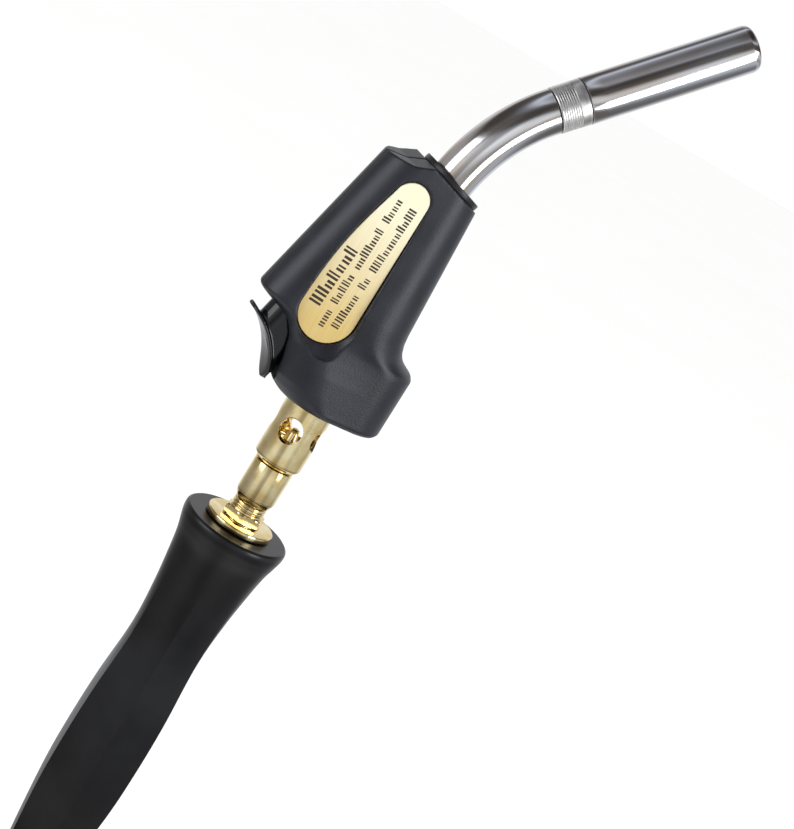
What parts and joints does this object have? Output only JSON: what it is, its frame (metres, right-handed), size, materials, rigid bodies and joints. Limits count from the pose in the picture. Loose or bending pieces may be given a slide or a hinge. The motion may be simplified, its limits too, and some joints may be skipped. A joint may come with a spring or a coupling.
{
  "type": "propane torch",
  "caption": "Hand-held gas torch: black grip with needle valve and hose inlet, swivelling head with brass mixer, piezo lighter housing, bent burn tube and open burner barrel.",
  "frame": {"origin": "middle of the grip, on the axis of the gas way through it", "axes": "+Z along the grip towards the burner, +X towards the side the burn tube bends to, -Y towards the side with the label plate"},
  "size_m": [0.0929, 0.0322, 0.3592],
  "materials": {
    "grip_plastic": "moulded black thermoset, satin gloss",
    "housing_plastic": "moulded heat-resistant nylon, fine grain, satin",
    "trigger_plastic": "moulded black nylon, glossy",
    "brass": "turned, polished",
    "steel": "drawn stainless steel, polished",
    "brushed_steel": "turned stainless steel, fine rings",
    "zinc_steel": "zinc-plated steel",
    "gold_plate": "gold anodised sheet, satin",
    "rubber": "black nitrile rubber",
    "ceramic": "white alumina or acetal, smooth",
    "piezo_plastic": "moulded dark grey plastic",
    "lead_red": "red silicone insulation",
    "bronze": "sintered bronze",
    "fibre": "red vulcanised fibre"
  },
  "bodies": {
    "handle": {"grip": "grip_plastic", "grip_end_ring": "brass", "grip_gas_tube": "brass", "flange_washer": "brass", "outlet_fitting": "brass", "valve_body": "brass", "packing_nut": "brass", "hose_inlet_nipple": "brass", "inlet_strainer": "bronze", "inlet_seal": "fibre"},
    "stem_seal": {"spindle_o_ring": "rubber"},
    "knob": {"valve_spindle": "brass", "valve_knob": "trigger_plastic", "knob_screw": "zinc_steel"},
    "head": {"swivel_connector": "brass", "connector_o_ring": "rubber", "connector_snap_ring": "zinc_steel", "gas_filter": "bronze", "gas_jet": "brass", "mixer_body": "brass", "burn_tube": "steel", "burner_union": "brushed_steel", "burner_barrel": "steel", "flame_swirler": "brushed_steel", "tip_insulator": "ceramic", "electrode_insulator": "ceramic", "spark_electrode": "zinc_steel", "ignition_lead": "lead_red", "earth_strap": "zinc_steel", "housing_near_shell": "housing_plastic", "housing_far_shell": "housing_plastic", "housing_screw_1": "zinc_steel", "housing_screw_2": "zinc_steel", "housing_screw_3": "zinc_steel", "heat_collar": "trigger_plastic", "label_plate": "gold_plate", "piezo_unit": "piezo_plastic"},
    "trigger": {"trigger": "trigger_plastic", "piezo_plunger": "ceramic", "return_spring": "zinc_steel"}
  },
  "joints": [
    {"name": "head_swivel", "type": "hinge", "parent": "handle", "child": "head", "pos_m": [0, 0, 0.0703], "axis": [0, 0, 1], "continuous": true},
    {"name": "trigger_press", "type": "slide", "parent": "head", "child": "trigger", "axis": [0.2351, 0, 0.972], "range_m": [0, 0.0038], "stiffness_N_per_m": 1200, "springref_m": -0.002, "deforming": ["return_spring"]},
    {"name": "valve_rise", "type": "slide", "parent": "handle", "child": "stem_seal", "axis": [-1, 0, 0], "range_m": [0, 0.0015]},
    {"name": "valve_turn", "type": "hinge", "parent": "stem_seal", "child": "knob", "pos_m": [-0.0246, 0, -0.0771], "axis": [-1, 0, 0], "range_deg": [0, 540]}
  ],
  "couplings": [
    {"joint": "valve_rise", "follows": "valve_turn", "m_per_rad": 0.000159}
  ]
}
